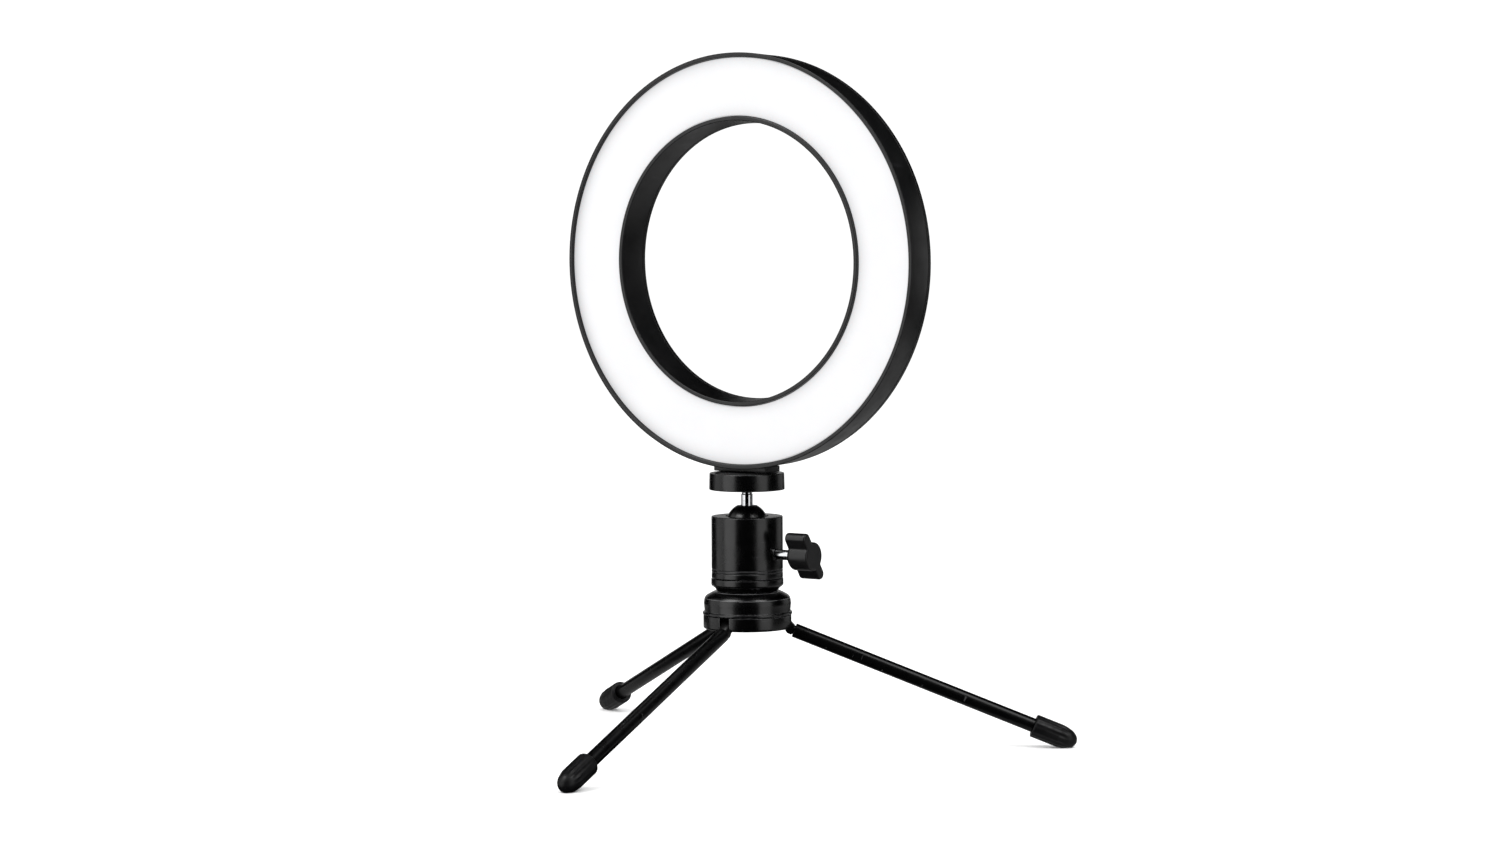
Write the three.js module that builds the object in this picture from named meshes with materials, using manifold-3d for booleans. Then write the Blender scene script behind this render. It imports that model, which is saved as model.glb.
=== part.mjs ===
// A desk ring light: a ring-shaped lamp on a mini ball head and a folding mini tripod.
// Millimetres, +Z up, the lamp faces -Y, and the origin is on the table under the middle of the whole.

import * as THREE from 'three';
import { mergeVertices } from 'three/addons/utils/BufferGeometryUtils.js';
import Module from 'manifold-3d';

const wasm = await Module();
wasm.setup();

// ---------------------------------------------------------------- driving dimensions

const GAP = 0.3; // left between pieces that touch
const FULL_TURN = Math.PI * 2;

const ring = {
	centreZ: 188.7,
	outerR: 80,
	openingR: 54,
	depth: 14.7,
	outerDraft: 0.5, // how much smaller the back is than the front
	openingDraft: 0.9,
	lip: 1.6, // width of each front edge
	lipChamfer: 0.3,
	recess: 0.8, // how far the diffuser lies behind the edges
	diffuser: 1.9,
	ledge: 1.0,
	cover: 2.0,
	segments: 48,
};
const board = { innerR: 58.5, outerR: 75.5, thickness: 1.2, behindFront: 8.4, leds: 36 };
const led = { tangential: 3.5, radial: 2.8, height: 0.8 };
const screwCircleR = ( ring.outerR + ring.openingR ) / 2;
const coverScrewAngles = [ 0, 60, 120, 180, 240, 300 ];
const boardScrewAngles = [ 30, 150, 270 ];
const boss = { width: 24.5, depth: 10, drop: 1.1, insertR: 3.85, insertLength: 4.6, insertBore: 3.3 };
const insertSeat = { halfWidth: 6.5, frontZ: 4 }; // the thick place inside the ring that holds the insert
const bridge = { halfWidth: 1.6, padR: 3.2, pilotR: 1.1, behindBoard: 0.4 }; // ribs that join the two walls
const coverScrew = { headR: 2.3, headHeight: 0.8, shankR: 0.85, length: 3.0, sunk: 0.9 };
const screwSeat = { radius: 2.7, depth: 1.2 };
const boardScrew = { headR: 2.1, headHeight: 1.1, shankR: 0.85, length: 3.0 };
const screwClearanceR = 1.3;
const socket = { angle: 255, width: 8.6, height: 3.2, depth: 4.5, wall: 0.45, floor: 0.6, sunk: 0.1 };
const tongue = { halfWidth: 2.6, halfThickness: 0.35, start: 0.8 };
const lead = { radius: 0.45, apart: 1.6, startAngle: 4.6, endAngle: 7.5, rise: 0.08 };

const platform = { bottomZ: 100.5, topZ: 107.0, topR: 14.5, bottomR: 14.65, recessR: 12.3, recess: 0.9 };
const stud = { radius: 3.0, bottomZ: 104.1, topZ: 112.0 };
const ball = { radius: 8.25, centreZ: 87.0, flatZ: 94.3, bore: 2.55, boreZ: 86 };
const stem = { radius: 2.25, spigotR: 1.6, bottomZ: 86.3, spigotTopZ: 103.5 };
const barrel = { radius: 13.85, topZ: 90.24, bottomZ: 66.4, bore: 8.6, chamfer: 0.4, screwBore: 2.3 };
const barrelGroove = { heights: [ 69.7, 68.6 ], depth: 0.25, halfWidth: 0.2 };
const baseCap = { radius: 14.0, neckR: 12.6, bottomZ: 61.3, spigotTopZ: 71.0, bore: 3.45, boreTopZ: 68.5 };
const seat = { noseR: 3.0, rimZ: 84.0 };
const lock = {
	z: 75.9,
	screwR: 2.0,
	knobR: 5.6,
	wingReach: 10.7,
	wingThickness: 4.4,
	wingAngle: 56, // the wing's rise towards the front
};
const padX = { tip: 5.65, shoulder: 6.85 };
const pad = { tipR: 0.4, radius: 1.6 };
const screwX = { inner: 8.1, outer: 25.0 };
const knobX = { inner: 21.5, outer: 31.2 };

const hub = { radius: 17.15, bottomZ: 46.7, bodyTopZ: 51.9, capTopZ: 61.0, capR: 17.0, ridgeR: 17.35 };
const bolt = { headR: 4.9, headTopZ: 49.6, shankR: 3.1, topZ: 68.0 };
const leg = {
	azimuths: [ 272.8, 32.8, 152.8 ], // front, right rear and left rear, seen from above
	slope: 21.92, // below the horizontal when spread
	pinR: 12.6,
	pinZ: 49.3,
	axisDrop: 1.26, // from the pin down to the tube's axis, square to the tube
	tubeStart: 6.4,
	tubeEnd: 118,
	tubeR: 2.78,
	tubeBore: 2.05,
	tipX: 124.3,
};
const pin = { radius: 1.0, halfLength: 5.0 };
const slot = { width: 4.4, innerR: 10.0 };
const tangThickness = 3.6;
const tang = { heelR: 2.2, dropX: 2.8, bottomX: 4.2, topX: 2.6, bottom: - 3.26, endTop: 0.6, spigotLength: 9 };
const foot = { startX: 106.3, radius: 4.55, bore: 3.05 };

// ---------------------------------------------------------------- materials

const finish = ( color, roughness, metalness ) =>
	new THREE.MeshStandardMaterial( { color, roughness, metalness } );

const blackPlastic = finish( 0x17181a, 0.45, 0 );
const milkyWhite = finish( 0xf7f8fb, 0.35, 0 );
const whiteBoard = finish( 0xe9ebe6, 0.5, 0 );
const brass = finish( 0xb5924c, 0.35, 1 );
const steel = finish( 0x9a9c9f, 0.35, 1 );
const chrome = finish( 0xd8dadd, 0.12, 1 );
const anodised = finish( 0x121214, 0.25, 0.6 );
const enamel = finish( 0x0e0e10, 0.3, 0.4 );
const nylon = finish( 0xd9d6cc, 0.6, 0 );
const rubber = finish( 0x151515, 0.85, 0 );
const redSleeve = finish( 0xa51d1d, 0.5, 0 );
const blackSleeve = finish( 0x1b1b1b, 0.5, 0 );

// ---------------------------------------------------------------- solids

const radians = THREE.MathUtils.degToRad;

// Turns a closed three.js geometry into a solid whose faces point out.
function solid( geometry ) {

	const bare = geometry.clone();
	bare.deleteAttribute( 'normal' );
	bare.deleteAttribute( 'uv' );
	const merged = mergeVertices( bare, 1e-4 );
	const vertProperties = new Float32Array( merged.attributes.position.array );
	const corners = [];
	const a = new THREE.Vector3();
	const b = new THREE.Vector3();
	const c = new THREE.Vector3();
	let volume = 0;
	for ( let i = 0; i < merged.index.count; i += 3 ) {

		const triangle = [ 0, 1, 2 ].map( ( k ) => merged.index.getX( i + k ) );
		if ( new Set( triangle ).size < 3 ) continue;
		a.fromArray( vertProperties, triangle[ 0 ] * 3 );
		b.fromArray( vertProperties, triangle[ 1 ] * 3 );
		c.fromArray( vertProperties, triangle[ 2 ] * 3 );
		volume += a.dot( b.cross( c ) );
		corners.push( triangle );

	}

	const facing = volume < 0 ? corners.map( ( [ p, q, r ] ) => [ p, r, q ] ) : corners;
	const triVerts = new Uint32Array( facing.flat() );
	return new wasm.Manifold( new wasm.Mesh( { numProp: 3, vertProperties, triVerts } ) );

}

function piece( name, body, material ) {

	const { vertProperties, triVerts } = body.getMesh();
	const geometry = new THREE.BufferGeometry();
	geometry.setAttribute( 'position', new THREE.BufferAttribute( vertProperties, 3 ) );
	geometry.setIndex( new THREE.BufferAttribute( triVerts, 1 ) );
	const mesh = new THREE.Mesh( geometry, material );
	mesh.name = name;
	return mesh;

}

const joined = ( solids ) => solids.reduce( ( sum, next ) => sum.add( next ) );
const cutBy = ( body, cutters ) => cutters.reduce( ( left, cutter ) => left.subtract( cutter ), body );

// A profile of [ radius, height ] points turned about Z. It starts and ends on the axis.
function turned( profile, segments = 32 ) {

	const points = profile.map( ( [ r, z ] ) => new THREE.Vector2( r, z ) );
	return new THREE.LatheGeometry( points, segments ).rotateX( Math.PI / 2 );

}

// A profile that never meets the axis, closed on itself and turned about Z.
const turnedRing = ( profile, segments ) => turned( [ ...profile, profile[ 0 ] ], segments );

const rod = ( radius, fromZ, toZ, segments = 16 ) =>
	turned( [ [ 0, fromZ ], [ radius, fromZ ], [ radius, toZ ], [ 0, toZ ] ], segments );

const tube = ( outer, inner, fromZ, toZ, segments = 20 ) =>
	turnedRing( [ [ inner, fromZ ], [ outer, fromZ ], [ outer, toZ ], [ inner, toZ ] ], segments );

function block( x, y, z ) {

	const middle = ( [ low, high ] ) => ( low + high ) / 2;
	const side = ( [ low, high ] ) => high - low;
	const box = new THREE.BoxGeometry( side( x ), side( y ), side( z ) );
	return box.translate( middle( x ), middle( y ), middle( z ) );

}

// An outline with two straight sides and round ends, in the XY plane about the origin.
function stadium( length, width ) {

	const shape = new THREE.Shape();
	const straight = ( length - width ) / 2;
	shape.absarc( straight, 0, width / 2, - Math.PI / 2, Math.PI / 2 );
	shape.absarc( - straight, 0, width / 2, Math.PI / 2, Math.PI * 1.5 );
	shape.closePath();
	return shape;

}

const extruded = ( shape, depth, curveSegments = 8 ) =>
	new THREE.ExtrudeGeometry( shape, { depth, bevelEnabled: false, curveSegments } );

const arc = ( centreZ, radius, fromDegrees, toDegrees, steps ) =>
	Array.from( { length: steps + 1 }, ( _, k ) => {

		const angle = radians( fromDegrees + ( toDegrees - fromDegrees ) * k / steps );
		return [ radius * Math.cos( angle ), centreZ + radius * Math.sin( angle ) ];

	} );

// ---------------------------------------------------------------- the ring lamp
// Built face up: local +Z is the way the lamp shines and local +Y is up.

const frontZ = ring.depth / 2;
const backZ = - ring.depth / 2;
const coverZ = backZ + ring.cover;
const wallEndZ = coverZ + GAP;
const ledgeZ = frontZ - ring.recess - ring.diffuser - GAP;
const boardFrontZ = frontZ - board.behindFront;
const boardBackZ = boardFrontZ - board.thickness;
const bridgeTopZ = boardBackZ - bridge.behindBoard;
const shining = new THREE.Vector3( 0, 0, 1 );

const atAngle = ( geometry, degrees ) =>
	geometry.translate( screwCircleR, 0, 0 ).rotateZ( radians( degrees ) );

const pointAt = ( degrees, z, radius = screwCircleR ) =>
	new THREE.Vector3( radius, 0, z ).applyAxisAngle( shining, radians( degrees ) );

function ringHousing() {

	const { outerR, openingR, lip, lipChamfer: c, ledge, outerDraft, openingDraft, segments } = ring;
	const outerWall = turnedRing( [
		[ outerR, frontZ - c ], [ outerR - c, frontZ ], [ outerR - lip + c, frontZ ], [ outerR - lip, frontZ - c ],
		[ outerR - lip, ledgeZ ], [ outerR - lip - ledge, ledgeZ ], [ outerR - lip - ledge, wallEndZ ],
		[ outerR - outerDraft, wallEndZ ],
	], segments );
	const innerWall = turnedRing( [
		[ openingR, frontZ - c ], [ openingR + c, frontZ ], [ openingR + lip - c, frontZ ],
		[ openingR + lip, frontZ - c ], [ openingR + lip, ledgeZ ], [ openingR + lip + ledge, ledgeZ ],
		[ openingR + lip + ledge, wallEndZ ], [ openingR - openingDraft, wallEndZ ],
	], segments );
	const halfBridge = ( outerR - openingR ) / 2 - lip;
	const bridges = [ ...coverScrewAngles, ...boardScrewAngles ].flatMap( ( angle ) => [
		atAngle( block( [ - halfBridge, halfBridge ], [ - bridge.halfWidth, bridge.halfWidth ],
			[ wallEndZ, bridgeTopZ ] ), angle ),
		atAngle( rod( bridge.padR, wallEndZ, bridgeTopZ, 10 ), angle ),
	] );
	const bossFloorY = - outerR - boss.drop;
	const mountingBoss = block( [ - boss.width / 2, boss.width / 2 ], [ bossFloorY, - outerR + 0.75 * lip ],
		[ - boss.depth / 2, boss.depth / 2 ] );
	const insertBlock = block( [ - insertSeat.halfWidth, insertSeat.halfWidth ],
		[ - outerR + lip / 2, - board.outerR - GAP ], [ - boss.depth / 2, insertSeat.frontZ ] );
	const pilots = [ ...coverScrewAngles, ...boardScrewAngles ].map( ( angle ) =>
		atAngle( rod( bridge.pilotR, wallEndZ - 1, bridgeTopZ + 1, 8 ), angle ) );
	const insertHole = rod( boss.insertR + GAP, bossFloorY - 1, - board.outerR + 1, 24 );
	insertHole.rotateX( - Math.PI / 2 );
	const body = joined( [ outerWall, innerWall, ...bridges, mountingBoss, insertBlock ].map( solid ) );
	return cutBy( body, [ ...pilots, insertHole ].map( solid ) );

}

function ledBoard() {

	const plate = tube( board.outerR, board.innerR, boardBackZ, boardFrontZ, ring.segments );
	const chips = Array.from( { length: board.leds }, ( _, k ) => atAngle(
		block( [ - led.radial / 2, led.radial / 2 ], [ - led.tangential / 2, led.tangential / 2 ],
			[ boardBackZ, boardFrontZ + led.height ] ), ( k + 0.5 ) * 360 / board.leds ) );
	const holes = boardScrewAngles.map( ( angle ) =>
		atAngle( rod( screwClearanceR, boardBackZ - 1, boardFrontZ + 1, 8 ), angle ) );
	return cutBy( joined( [ plate, ...chips ].map( solid ) ), holes.map( solid ) );

}

function diffuser() {

	const inner = ring.openingR + ring.lip + GAP;
	const outer = ring.outerR - ring.lip - GAP;
	const front = frontZ - ring.recess;
	const back = front - ring.diffuser;
	const edge = 0.4;
	return solid( turnedRing( [
		[ inner, back ], [ outer, back ], [ outer, front - edge ], [ outer - edge, front ],
		[ inner + edge, front ], [ inner, front - edge ],
	], ring.segments ) );

}

function backCover() {

	const outer = ring.outerR - ring.outerDraft;
	const inner = ring.openingR - ring.openingDraft;
	const edge = 0.5;
	const plate = turnedRing( [
		[ inner + edge, backZ ], [ outer - edge, backZ ], [ outer, backZ + edge ], [ outer, coverZ ],
		[ inner, coverZ ], [ inner, backZ + edge ],
	], ring.segments );
	const screwSeats = coverScrewAngles.flatMap( ( angle ) => [
		atAngle( rod( screwClearanceR, backZ - 1, coverZ + 1, 8 ), angle ),
		atAngle( rod( screwSeat.radius, backZ - 1, backZ + screwSeat.depth, 12 ), angle ),
	] );
	const socketOutline = stadium( socket.width + 2 * GAP, socket.height + 2 * GAP );
	const socketHole = extruded( socketOutline, ring.cover + 2 ).rotateZ( Math.PI / 2 );
	socketHole.translate( 0, 0, backZ - 1 );
	return cutBy( solid( plate ), [ ...screwSeats, atAngle( socketHole, socket.angle ) ].map( solid ) );

}

// A small pan-headed screw with a cross recess, its head at the +Z end of its shank.
function panScrew( { headR, headHeight, shankR, length } ) {

	const slotHalfWidth = 0.25;
	const body = turned( [
		[ 0, - length ], [ shankR, - length ], [ shankR, 0 ], [ headR, 0 ],
		[ headR, headHeight ], [ 0, headHeight ],
	], 10 );
	const arm = headR * 0.55;
	const recess = [ 0, 90 ].map( ( turn ) =>
		block( [ - arm, arm ], [ - slotHalfWidth, slotHalfWidth ], [ headHeight / 2, headHeight + 1 ] )
			.rotateZ( radians( turn ) ) );
	return cutBy( solid( body ), recess.map( solid ) );

}

function powerSocket() {

	const { width, height, depth, wall, floor } = socket;
	const shell = extruded( stadium( width, height ), depth );
	const well = extruded( stadium( width - 2 * wall, height - 2 * wall ), depth ).translate( 0, 0, - floor );
	const blade = block( [ - tongue.halfWidth, tongue.halfWidth ],
		[ - tongue.halfThickness, tongue.halfThickness ], [ tongue.start, depth - floor / 2 ] );
	return solid( shell ).subtract( solid( well ) ).add( solid( blade ) );

}

// A lead from the back of the socket to the back of the board, following the ring.
function supplyLead( side ) {

	const radius = screwCircleR + side * lead.apart;
	const start = { degrees: socket.angle + lead.startAngle, z: ( coverZ + boardBackZ ) / 2 };
	const turns = [ 0, 0.25, 0.5, 0.75, 1 ].map( ( share ) => share * lead.endAngle );
	const path = new THREE.CatmullRomCurve3( turns.map( ( turn ) =>
		pointAt( start.degrees + turn, start.z + lead.rise * turn, radius ) ) );
	const section = new THREE.Shape().absarc( 0, 0, lead.radius, 0, FULL_TURN );
	return solid( new THREE.ExtrudeGeometry( section, { steps: 8, curveSegments: 2, extrudePath: path } ) );

}

function ringLamp() {

	const lamp = new THREE.Group();
	lamp.add( piece( 'ring_housing', ringHousing(), blackPlastic ) );
	lamp.add( piece( 'diffuser', diffuser(), milkyWhite ) );
	lamp.add( piece( 'led_board', ledBoard(), whiteBoard ) );
	lamp.add( piece( 'back_cover', backCover(), blackPlastic ) );
	coverScrewAngles.forEach( ( angle, index ) => {

		const screw = piece( `cover_screw_${ index + 1 }`, panScrew( coverScrew ), steel );
		screw.rotation.set( Math.PI, 0, radians( - angle ) );
		screw.position.copy( pointAt( angle, backZ + coverScrew.sunk ) );
		lamp.add( screw );

	} );
	boardScrewAngles.forEach( ( angle, index ) => {

		const screw = piece( `board_screw_${ index + 1 }`, panScrew( boardScrew ), steel );
		screw.rotation.z = radians( angle );
		screw.position.copy( pointAt( angle, boardFrontZ + GAP ) );
		lamp.add( screw );

	} );
	const inlet = piece( 'power_socket', powerSocket(), steel );
	inlet.rotation.z = radians( socket.angle + 90 );
	inlet.position.copy( pointAt( socket.angle, backZ + socket.sunk ) );
	lamp.add( inlet );
	lamp.add( piece( 'supply_lead_red', supplyLead( 1 ), redSleeve ) );
	lamp.add( piece( 'supply_lead_black', supplyLead( - 1 ), blackSleeve ) );
	const insertTube = tube( boss.insertR, boss.insertBore, 0, boss.insertLength );
	const insert = piece( 'threaded_insert', solid( insertTube ), brass );
	insert.rotation.x = - Math.PI / 2;
	insert.position.y = - ring.outerR - boss.drop + GAP;
	lamp.add( insert );
	lamp.rotation.x = Math.PI / 2;
	lamp.position.z = ring.centreZ;
	return lamp;

}

// ---------------------------------------------------------------- the ball head

function platformPlate() {

	const { bottomZ, topZ, topR, bottomR, recessR, recess } = platform;
	const rimChamfer = 0.4;
	return solid( turnedRing( [
		[ stem.spigotR + GAP, bottomZ ], [ bottomR - rimChamfer, bottomZ ], [ bottomR, bottomZ + rimChamfer ],
		[ topR, topZ - rimChamfer ], [ topR - rimChamfer, topZ ],
		[ recessR, topZ ], [ recessR, topZ - recess ],
		[ stud.radius + GAP, topZ - recess ], [ stud.radius + GAP, stud.bottomZ - GAP ],
		[ stem.spigotR + GAP, stud.bottomZ - GAP ],
	], 36 ) );

}

function headBall() {

	const flatAngle = THREE.MathUtils.radToDeg( Math.asin( ( ball.flatZ - ball.centreZ ) / ball.radius ) );
	return solid( turned( [
		...arc( ball.centreZ, ball.radius, - 90, flatAngle, 10 ),
		[ ball.bore, ball.flatZ ], [ ball.bore, ball.boreZ ], [ 0, ball.boreZ ],
	], 24 ) );

}

function ballStem() {

	const shoulderZ = platform.bottomZ - GAP;
	return solid( turned( [
		[ 0, stem.bottomZ ], [ stem.radius, stem.bottomZ ], [ stem.radius, shoulderZ ],
		[ stem.spigotR, shoulderZ ], [ stem.spigotR, stem.spigotTopZ ], [ 0, stem.spigotTopZ ],
	], 24 ) );

}

function headBarrel() {

	const { radius, topZ, bottomZ, bore, chamfer, screwBore } = barrel;
	const { heights, depth, halfWidth } = barrelGroove;
	const lipAngle = THREE.MathUtils.radToDeg( Math.asin( ( topZ - chamfer - ball.centreZ ) / bore ) );
	const grooves = heights.flatMap( ( z ) => [
		[ radius, z + halfWidth ], [ radius - depth, z ], [ radius, z - halfWidth ],
	] );
	const shell = turnedRing( [
		...arc( ball.centreZ, bore, 0, lipAngle, 4 ),
		[ bore * Math.cos( radians( lipAngle ) ) + chamfer, topZ ], [ radius - chamfer, topZ ],
		[ radius, topZ - chamfer ], ...grooves, [ radius, bottomZ ], [ bore, bottomZ ],
	], 36 );
	const screwHole = rod( screwBore, 0, radius + 2 ).rotateY( Math.PI / 2 ).translate( 0, 0, lock.z );
	return solid( shell ).subtract( solid( screwHole ) );

}

function baseCapBody() {

	const { radius, neckR, bottomZ, spigotTopZ, bore, boreTopZ } = baseCap;
	const flangeTopZ = barrel.bottomZ - GAP;
	const neck = { topZ: bottomZ + 1.3, taperTopZ: bottomZ + 2 };
	return solid( turned( [
		[ 0, spigotTopZ ], [ barrel.bore - GAP, spigotTopZ ], [ barrel.bore - GAP, flangeTopZ ],
		[ radius, flangeTopZ ], [ radius, neck.taperTopZ ], [ neckR, neck.topZ ], [ neckR, bottomZ ],
		[ bore, bottomZ ], [ bore, boreTopZ ], [ 0, boreTopZ ],
	], 32 ) );

}

// The nylon cup under the ball. The pressure pad bears on the 45 degree flank of its nose.
function ballSeat() {

	const seatR = ball.radius + GAP;
	const rimAngle = THREE.MathUtils.radToDeg( Math.asin( ( seat.rimZ - ball.centreZ ) / seatR ) );
	const outer = barrel.bore - GAP;
	const flankGap = GAP * Math.SQRT2;
	const noseZ = lock.z + pad.tipR + flankGap - ( padX.tip - seat.noseR );
	return solid( turned( [
		[ 0, noseZ ], [ seat.noseR, noseZ ], [ outer, noseZ + outer - seat.noseR ], [ outer, seat.rimZ ],
		...arc( ball.centreZ, seatR, rimAngle, - 90, 5 ),
	], 24 ) );

}

const alongX = ( geometry ) => geometry.rotateY( Math.PI / 2 ).translate( 0, 0, lock.z );

const pressurePad = () => solid( alongX( turned( [
	[ 0, padX.tip ], [ pad.tipR, padX.tip ], [ pad.radius, padX.shoulder ], [ pad.radius, screwX.inner - GAP ],
	[ 0, screwX.inner - GAP ],
], 20 ) ) );

const lockScrew = () => solid( alongX( rod( lock.screwR, screwX.inner, screwX.outer ) ) );

function lockKnob() {

	const { inner, outer } = knobX;
	const round = 0.9;
	const taper = 1.2;
	const boreR = lock.screwR + GAP;
	const core = alongX( turned( [
		[ 0, screwX.outer + GAP ], [ boreR, screwX.outer + GAP ],
		[ boreR, inner ], [ lock.knobR - taper, inner ], [ lock.knobR, inner + taper ],
		[ lock.knobR, outer - round ], [ lock.knobR - round, outer ], [ 0, outer ],
	], 20 ) );
	const outline = stadium( 2 * lock.wingReach - round, lock.wingThickness - round );
	const wings = new THREE.ExtrudeGeometry( outline, {
		depth: outer - inner - round,
		bevelThickness: round / 2,
		bevelSize: round / 2,
		bevelSegments: 1,
		curveSegments: 5,
	} ).translate( 0, 0, inner + round / 2 ).rotateZ( radians( 90 ) ).rotateY( Math.PI / 2 )
		.rotateX( radians( 180 - lock.wingAngle ) ).translate( 0, 0, lock.z );
	const screwRoom = alongX( rod( boreR, inner - 1, screwX.outer + GAP ) );
	return solid( core ).add( solid( wings ) ).subtract( solid( screwRoom ) );

}

function ballHead() {

	const head = new THREE.Group();
	const topPad = tube( platform.recessR - GAP, stud.radius + 2 * GAP, platform.topZ - platform.recess + GAP,
		platform.topZ + GAP, 36 );
	head.add( piece( 'platform', platformPlate(), anodised ) );
	head.add( piece( 'platform_pad', solid( topPad ), rubber ) );
	head.add( piece( 'camera_stud', solid( rod( stud.radius, stud.bottomZ, stud.topZ ) ), steel ) );
	head.add( piece( 'ball', headBall(), anodised ) );
	head.add( piece( 'ball_stem', ballStem(), chrome ) );
	head.add( piece( 'head_barrel', headBarrel(), anodised ) );
	head.add( piece( 'base_cap', baseCapBody(), anodised ) );
	head.add( piece( 'ball_seat', ballSeat(), nylon ) );
	head.add( piece( 'pressure_pad', pressurePad(), brass ) );
	head.add( piece( 'lock_screw', lockScrew(), chrome ) );
	head.add( piece( 'lock_knob', lockKnob(), blackPlastic ) );
	return head;

}

// ---------------------------------------------------------------- the tripod

function hubCap() {

	const { capTopZ, capR, ridgeR, bodyTopZ } = hub;
	const bottomZ = bodyTopZ + GAP;
	const bore = bolt.shankR + 0.5;
	const waistR = capR - 0.35;
	return solid( turnedRing( [
		[ bore, bottomZ ], [ ridgeR - 0.15, bottomZ ], [ ridgeR, bottomZ + 0.3 ], [ ridgeR, bottomZ + 0.9 ],
		[ waistR, bottomZ + 1.2 ], [ capR, capTopZ - 3.6 ], [ capR - 0.45, capTopZ - 2.0 ],
		[ capR - 1.55, capTopZ - 1.2 ], [ capR - 3.1, capTopZ - 0.4 ], [ capR - 3.85, capTopZ ],
		[ bore, capTopZ ],
	], 36 ) );

}

const atAzimuth = ( geometry, degrees ) => geometry.rotateZ( radians( degrees ) );

// The leg carrier: three slots for the legs, and a groove across each for its pin.
function hubBody() {

	const { radius, bottomZ, bodyTopZ } = hub;
	const bevel = 0.9;
	const boltBore = bolt.shankR + 0.5;
	const headBore = bolt.headR + 0.5;
	const disc = turnedRing( [
		[ headBore, bottomZ ], [ radius - bevel, bottomZ ], [ radius, bottomZ + bevel ], [ radius, bodyTopZ ],
		[ boltBore, bodyTopZ ], [ boltBore, bolt.headTopZ + GAP ], [ headBore, bolt.headTopZ + GAP ],
	], 36 );
	const grooveR = pin.radius + 0.25;
	const halfGroove = pin.halfLength + GAP;
	const cuts = leg.azimuths.flatMap( ( azimuth ) => [
		block( [ slot.innerR, radius + 3 ], [ - slot.width / 2, slot.width / 2 ],
			[ bottomZ - 1, bodyTopZ + 1 ] ),
		block( [ leg.pinR - grooveR, leg.pinR + grooveR ], [ - halfGroove, halfGroove ],
			[ leg.pinZ, bodyTopZ + 1 ] ),
		rod( grooveR, - halfGroove, halfGroove ).rotateX( Math.PI / 2 ).translate( leg.pinR, 0, leg.pinZ ),
	].map( ( cutter ) => atAzimuth( cutter, azimuth ) ) );
	return cutBy( solid( disc ), cuts.map( solid ) );

}

function centreBolt() {

	const { headR, headTopZ, shankR, topZ } = bolt;
	const headBottomZ = hub.bottomZ + GAP;
	const body = turned( [
		[ 0, headBottomZ ], [ headR - 0.4, headBottomZ ], [ headR, headBottomZ + 0.4 ], [ headR, headTopZ ],
		[ shankR, headTopZ ], [ shankR, topZ ], [ 0, topZ ],
	], 18 );
	const hexSocket = rod( 2.5, headBottomZ - 1, headBottomZ + 1.6, 6 );
	return solid( body ).subtract( solid( hexSocket ) );

}

const alongLeg = ( geometry ) => geometry.rotateY( Math.PI / 2 ).translate( 0, 0, - leg.axisDrop );

// The flat blade that turns on the pin, with the round spigot that fills the end of the tube.
function legTang() {

	const { heelR, dropX, bottomX, topX, bottom, endTop, spigotLength } = tang;
	const endX = leg.tubeStart - GAP;
	const shape = new THREE.Shape();
	shape.absarc( 0, 0, heelR, Math.PI / 2, Math.PI * 1.5 );
	shape.lineTo( dropX, - heelR );
	shape.lineTo( bottomX, bottom );
	shape.lineTo( endX, bottom );
	shape.lineTo( endX, endTop );
	shape.lineTo( topX, heelR );
	shape.closePath();
	const blade = extruded( shape, tangThickness ).rotateX( Math.PI / 2 ).translate( 0, tangThickness / 2, 0 );
	const spigot = alongLeg( rod( leg.tubeBore - GAP, endX - 1, leg.tubeStart + spigotLength ) );
	const pinHole = rod( pin.radius + 0.15, - tangThickness, tangThickness ).rotateX( Math.PI / 2 );
	return solid( blade ).add( solid( spigot ) ).subtract( solid( pinHole ) );

}

const legTube = () => solid( alongLeg( tube( leg.tubeR, leg.tubeBore, leg.tubeStart, leg.tubeEnd, 16 ) ) );

// The rubber cap, rounded to a blunt tip and worn flat where it stands on the table.
function legFoot() {

	const { startX, radius, bore } = foot;
	const boreEndX = leg.tubeEnd + GAP;
	const cap = alongLeg( turned( [
		[ 0, boreEndX ], [ bore, boreEndX ], [ bore, startX ],
		[ radius - 0.5, startX ], [ radius, startX + 0.7 ],
		[ radius, leg.tipX - 7.3 ], [ radius - 0.25, leg.tipX - 4.7 ], [ radius - 0.95, leg.tipX - 2.5 ],
		[ radius - 2.4, leg.tipX - 0.7 ], [ 0, leg.tipX ],
	], 18 ) );
	const table = block( [ 90, 150 ], [ - 20, 20 ], [ - 20, 0 ] ).translate( - leg.pinR, 0, - leg.pinZ )
		.rotateY( - radians( leg.slope ) );
	return solid( cap ).subtract( solid( table ) );

}

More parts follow.
